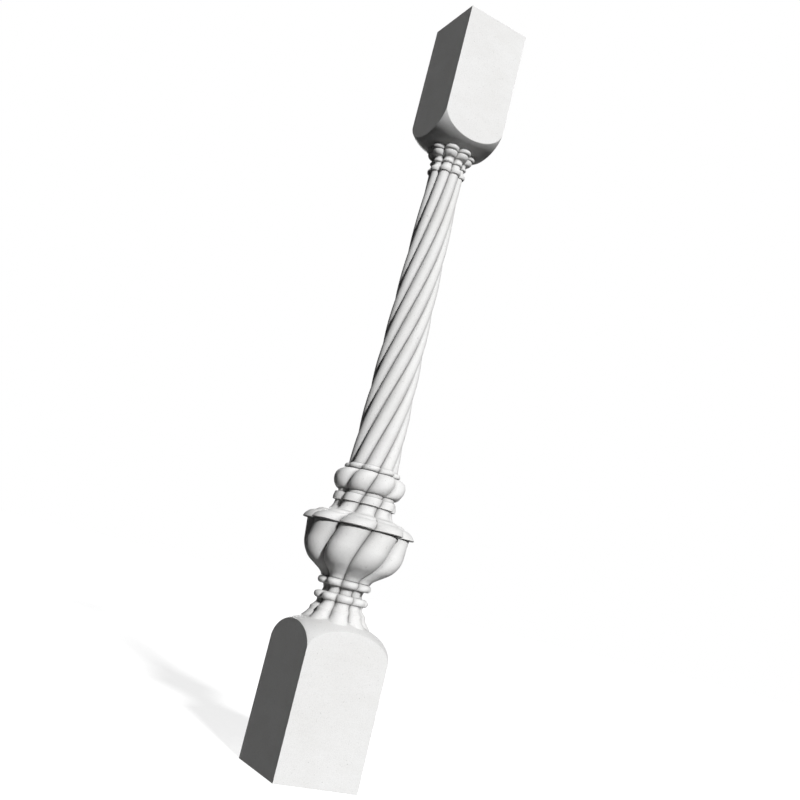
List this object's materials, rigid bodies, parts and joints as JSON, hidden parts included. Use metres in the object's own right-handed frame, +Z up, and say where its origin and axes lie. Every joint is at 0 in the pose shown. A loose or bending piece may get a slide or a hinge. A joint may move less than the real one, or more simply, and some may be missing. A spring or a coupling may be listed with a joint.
{
  "type": "stone baluster",
  "caption": "Slender carved stone baluster: square end blocks with domed shoulders, and a turned, lobed stem that winds up through a vase, torus and tapering shaft.",
  "frame": {"origin": "centre of the flat underside of the bottom block", "axes": "+Z up the baluster's axis to the top bed; +X and +Y square to the faces of the two blocks"},
  "size_m": [0.1388, 0.1388, 1],
  "materials": {
    "stone": "matte"
  },
  "bodies": {
    "root": {"baluster": "stone"}
  },
  "joints": []
}
